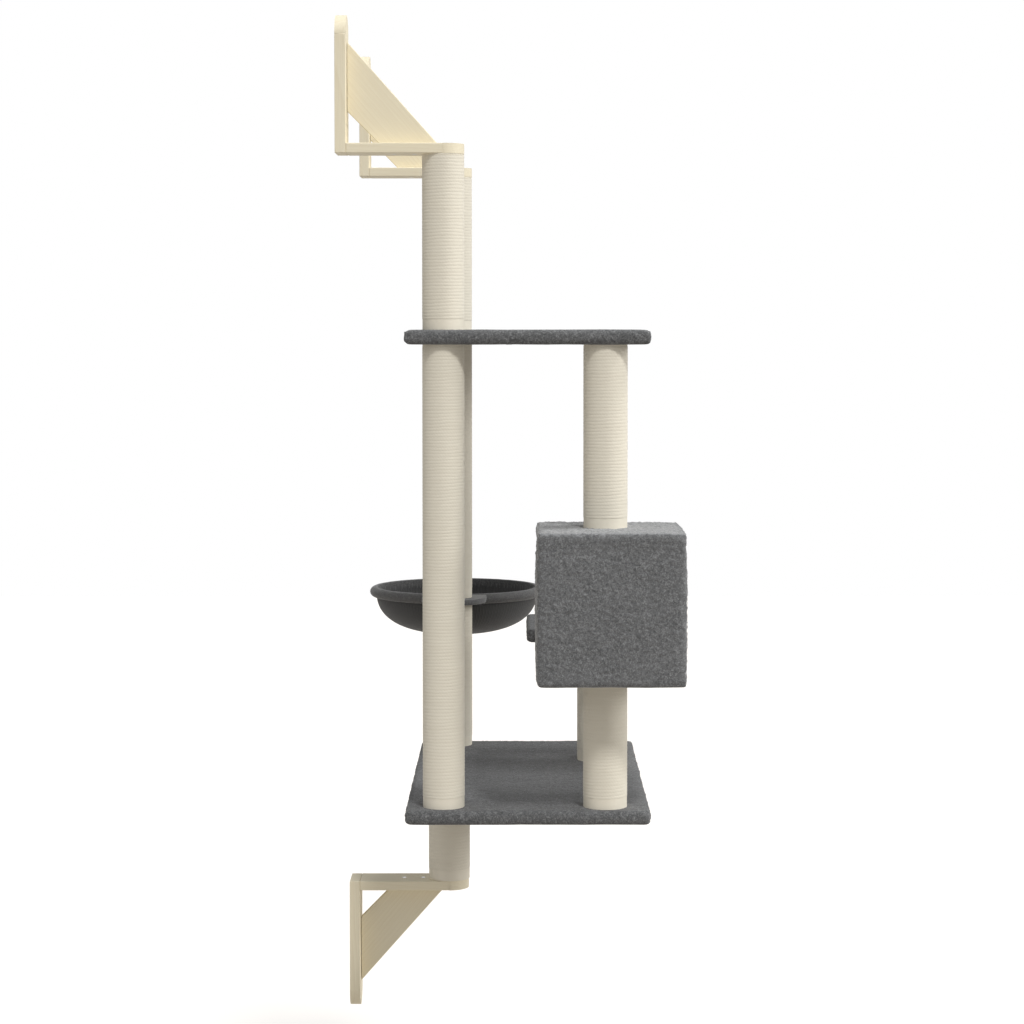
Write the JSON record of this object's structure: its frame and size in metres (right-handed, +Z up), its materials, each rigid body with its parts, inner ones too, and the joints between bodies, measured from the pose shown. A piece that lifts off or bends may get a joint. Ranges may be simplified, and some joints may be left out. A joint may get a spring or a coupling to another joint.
{
  "type": "wall mounted cat tree",
  "caption": "Wall mounted cat tree: wooden brackets hold rope-wound posts with plush platforms, a hideaway box, a perch and a round fabric bowl.",
  "frame": {"origin": "centre of the bottom bracket's wall plate, on its wall face", "axes": "+X out from the wall, +Y along the wall towards the bowl, +Z up"},
  "size_m": [0.6244, 1.2609, 1.877],
  "materials": {
    "birch": "pale, oiled, fine grain",
    "cardboard": "matt brown tube",
    "rope": "cream twisted rope",
    "cap_plastic": "cream, matt",
    "zinc_steel": "zinc plated",
    "chipboard": "raw chipboard",
    "plush": "dark grey speckled short-pile plush",
    "underlay_felt": "dark grey felt",
    "bowl_fabric": "dark grey ribbed fabric",
    "painted_steel": "black, satin"
  },
  "bodies": {
    "tree": {"left_bracket_plate": "birch", "left_bracket_arm": "birch", "left_bracket_brace": "birch", "right_bracket_plate": "birch", "right_bracket_arm": "birch", "right_bracket_brace": "birch", "bottom_bracket_plate": "birch", "bottom_bracket_arm": "birch", "bottom_bracket_brace": "birch", "left_rear_upper_core": "cardboard", "left_rear_upper_rope": "rope", "right_rear_upper_core": "cardboard", "right_rear_upper_rope": "rope", "left_rear_lower_core": "cardboard", "left_rear_lower_rope": "rope", "right_rear_middle_core": "cardboard", "right_rear_middle_rope": "rope", "right_rear_lower_core": "cardboard", "right_rear_lower_rope": "rope", "left_front_upper_core": "cardboard", "left_front_upper_rope": "rope", "left_front_lower_core": "cardboard", "left_front_lower_rope": "rope", "perch_post_core": "cardboard", "perch_post_rope": "rope", "bottom_post_core": "cardboard", "bottom_post_rope": "rope", "bracket_screws": "zinc_steel", "threaded_inserts": "zinc_steel", "connecting_studs": "zinc_steel", "holder_stud": "zinc_steel", "post_bolts": "zinc_steel", "bolt_washers": "zinc_steel", "condo_screws": "zinc_steel", "post_end_caps": "cap_plastic", "top_platform_board": "chipboard", "bottom_platform_board": "chipboard", "condo_floor": "chipboard", "condo_roof": "chipboard", "condo_entrance_panel": "chipboard", "condo_end_panel": "chipboard", "condo_wall_side_panel": "chipboard", "condo_room_side_panel": "chipboard", "perch_board": "chipboard", "top_platform_cover": "plush", "bottom_platform_cover": "plush", "condo_cover": "plush", "perch_cover": "plush", "top_platform_underlay": "underlay_felt", "bottom_platform_underlay": "underlay_felt", "condo_floor_mat": "underlay_felt", "entrance_trim": "bowl_fabric"},
    "bowl": {"holder_board": "chipboard", "holder_cover": "bowl_fabric", "holder_screws": "painted_steel", "bowl_fork": "painted_steel", "bowl_ring": "painted_steel", "bowl_rim": "bowl_fabric", "bowl_basket": "bowl_fabric"}
  },
  "joints": [
    {"name": "bowl_swivel", "type": "hinge", "parent": "tree", "child": "bowl", "pos_m": [0.192, 0.35, 0.6295], "axis": [0, 0, -1], "range_deg": [0, 50]}
  ]
}
